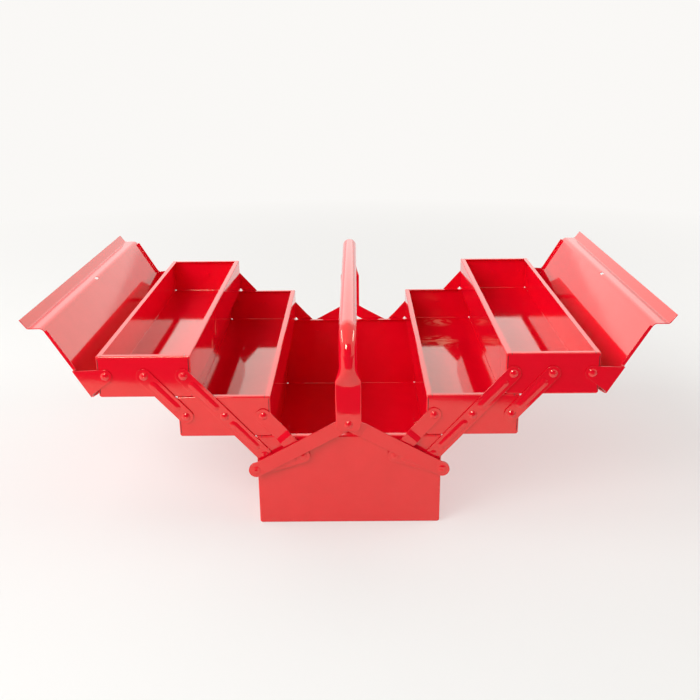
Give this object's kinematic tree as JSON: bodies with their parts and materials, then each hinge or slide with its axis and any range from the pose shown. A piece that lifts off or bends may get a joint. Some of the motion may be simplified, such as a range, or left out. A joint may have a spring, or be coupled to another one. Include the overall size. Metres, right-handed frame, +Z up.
{
  "type": "cantilever tool box",
  "caption": "Folding sheet-steel tool box with a deep base, cantilever trays on riveted arms, hinged lids and a tube carrying handle, standing open.",
  "frame": {"origin": "middle of the base's underside, which is the bottom centre of the opened box", "axes": "+X across the box to its right-hand trays, +Y along the box to its rear end, +Z up"},
  "size_m": [0.6798, 0.457, 0.2387],
  "materials": {
    "shell_paint": "glossy red paint",
    "arm_paint": "glossy red paint",
    "handle_paint": "glossy red paint",
    "rivet_paint": "glossy red paint"
  },
  "bodies": {
    "base": {"base_box": "shell_paint", "base_rivets": "rivet_paint"},
    "handle_pins": {"handle_rivets": "rivet_paint"},
    "handle": {"handle": "handle_paint"},
    "cranks_left": {"crank_left_front": "arm_paint", "crank_left_rear": "arm_paint"},
    "lower_tray_left": {"lower_tray_left": "shell_paint", "lower_rivets_left": "rivet_paint"},
    "short_arms_left": {"short_arm_left_front": "arm_paint", "short_arm_left_rear": "arm_paint"},
    "upper_tray_left": {"upper_tray_left": "shell_paint", "upper_rivets_left": "rivet_paint"},
    "lid_left": {"lid_left": "shell_paint"},
    "long_arms_left": {"long_arm_left_front": "arm_paint", "long_arm_left_rear": "arm_paint"},
    "links_left": {"link_left_front": "arm_paint", "link_left_rear": "arm_paint", "link_rivets_left": "rivet_paint"},
    "cranks_right": {"crank_right_front": "arm_paint", "crank_right_rear": "arm_paint"},
    "lower_tray_right": {"lower_tray_right": "shell_paint", "lower_rivets_right": "rivet_paint"},
    "short_arms_right": {"short_arm_right_front": "arm_paint", "short_arm_right_rear": "arm_paint"},
    "upper_tray_right": {"upper_tray_right": "shell_paint", "upper_rivets_right": "rivet_paint"},
    "lid_right": {"lid_right": "shell_paint"},
    "long_arms_right": {"long_arm_right_front": "arm_paint", "long_arm_right_rear": "arm_paint"},
    "links_right": {"link_right_front": "arm_paint", "link_right_rear": "arm_paint", "link_rivets_right": "rivet_paint"}
  },
  "joints": [
    {"name": "left_fold", "type": "hinge", "parent": "base", "child": "cranks_left", "pos_m": [-0.05, 0, 0.084], "axis": [0, 1, 0], "range_deg": [0, 83.4]},
    {"name": "left_lower_tray", "type": "hinge", "parent": "cranks_left", "child": "lower_tray_left", "pos_m": [-0.09125, 0, 0.1303], "axis": [0, 1, 0], "range_deg": [-83.4, 0]},
    {"name": "left_short_arms", "type": "hinge", "parent": "lower_tray_left", "child": "short_arms_left", "pos_m": [-0.17375, 0, 0.1303], "axis": [0, 1, 0], "range_deg": [0, 83.4]},
    {"name": "left_upper_tray", "type": "hinge", "parent": "short_arms_left", "child": "upper_tray_left", "pos_m": [-0.215, 0, 0.1766], "axis": [0, 1, 0], "range_deg": [-83.4, 0]},
    {"name": "left_lid", "type": "hinge", "parent": "upper_tray_left", "child": "lid_left", "pos_m": [-0.25625, 0, 0.1766], "axis": [0, 1, 0], "range_deg": [0, 119.1]},
    {"name": "left_long_arms", "type": "hinge", "parent": "base", "child": "long_arms_left", "pos_m": [-0.09125, 0, 0.084], "axis": [0, 1, 0], "range_deg": [0, 83.4]},
    {"name": "right_fold", "type": "hinge", "parent": "base", "child": "cranks_right", "pos_m": [0.05, 0, 0.084], "axis": [0, -1, 0], "range_deg": [0, 83.4]},
    {"name": "right_lower_tray", "type": "hinge", "parent": "cranks_right", "child": "lower_tray_right", "pos_m": [0.09125, 0, 0.1303], "axis": [0, -1, 0], "range_deg": [-83.4, 0]},
    {"name": "right_short_arms", "type": "hinge", "parent": "lower_tray_right", "child": "short_arms_right", "pos_m": [0.17375, 0, 0.1303], "axis": [0, -1, 0], "range_deg": [0, 83.4]},
    {"name": "right_upper_tray", "type": "hinge", "parent": "short_arms_right", "child": "upper_tray_right", "pos_m": [0.215, 0, 0.1766], "axis": [0, -1, 0], "range_deg": [-83.4, 0]},
    {"name": "right_lid", "type": "hinge", "parent": "upper_tray_right", "child": "lid_right", "pos_m": [0.25625, 0, 0.1766], "axis": [0, -1, 0], "range_deg": [0, 120.5]},
    {"name": "right_long_arms", "type": "hinge", "parent": "base", "child": "long_arms_right", "pos_m": [0.09125, 0, 0.084], "axis": [0, -1, 0], "range_deg": [0, 83.4]},
    {"name": "handle_lift", "type": "slide", "parent": "base", "child": "handle_pins", "axis": [0, 0, 1], "range_m": [0, 0.09962]},
    {"name": "left_links", "type": "hinge", "parent": "handle_pins", "child": "links_left", "pos_m": [0, 0, 0.1232], "axis": [0, -1, 0], "range_deg": [0, 22.77]},
    {"name": "right_links", "type": "hinge", "parent": "handle_pins", "child": "links_right", "pos_m": [0, 0, 0.1232], "axis": [0, 1, 0], "range_deg": [0, 22.77]},
    {"name": "handle_tilt", "type": "hinge", "parent": "handle_pins", "child": "handle", "pos_m": [0, 0, 0.1232], "axis": [0, 1, 0], "range_deg": [-60, 60]}
  ],
  "couplings": [
    {"joint": "left_lower_tray", "follows": "left_fold", "ratio": -1},
    {"joint": "left_short_arms", "follows": "left_fold", "ratio": 1},
    {"joint": "left_upper_tray", "follows": "left_fold", "ratio": -1},
    {"joint": "left_long_arms", "follows": "left_fold", "ratio": 1},
    {"joint": "right_fold", "follows": "left_fold", "ratio": 1},
    {"joint": "right_lower_tray", "follows": "left_fold", "ratio": -1},
    {"joint": "right_short_arms", "follows": "left_fold", "ratio": 1},
    {"joint": "right_upper_tray", "follows": "left_fold", "ratio": -1},
    {"joint": "right_long_arms", "follows": "left_fold", "ratio": 1},
    {"joint": "handle_lift", "follows": "left_fold", "m_per_rad": 0.068438},
    {"joint": "left_links", "follows": "left_fold", "ratio": 0.27308},
    {"joint": "right_links", "follows": "left_fold", "ratio": 0.27308}
  ]
}
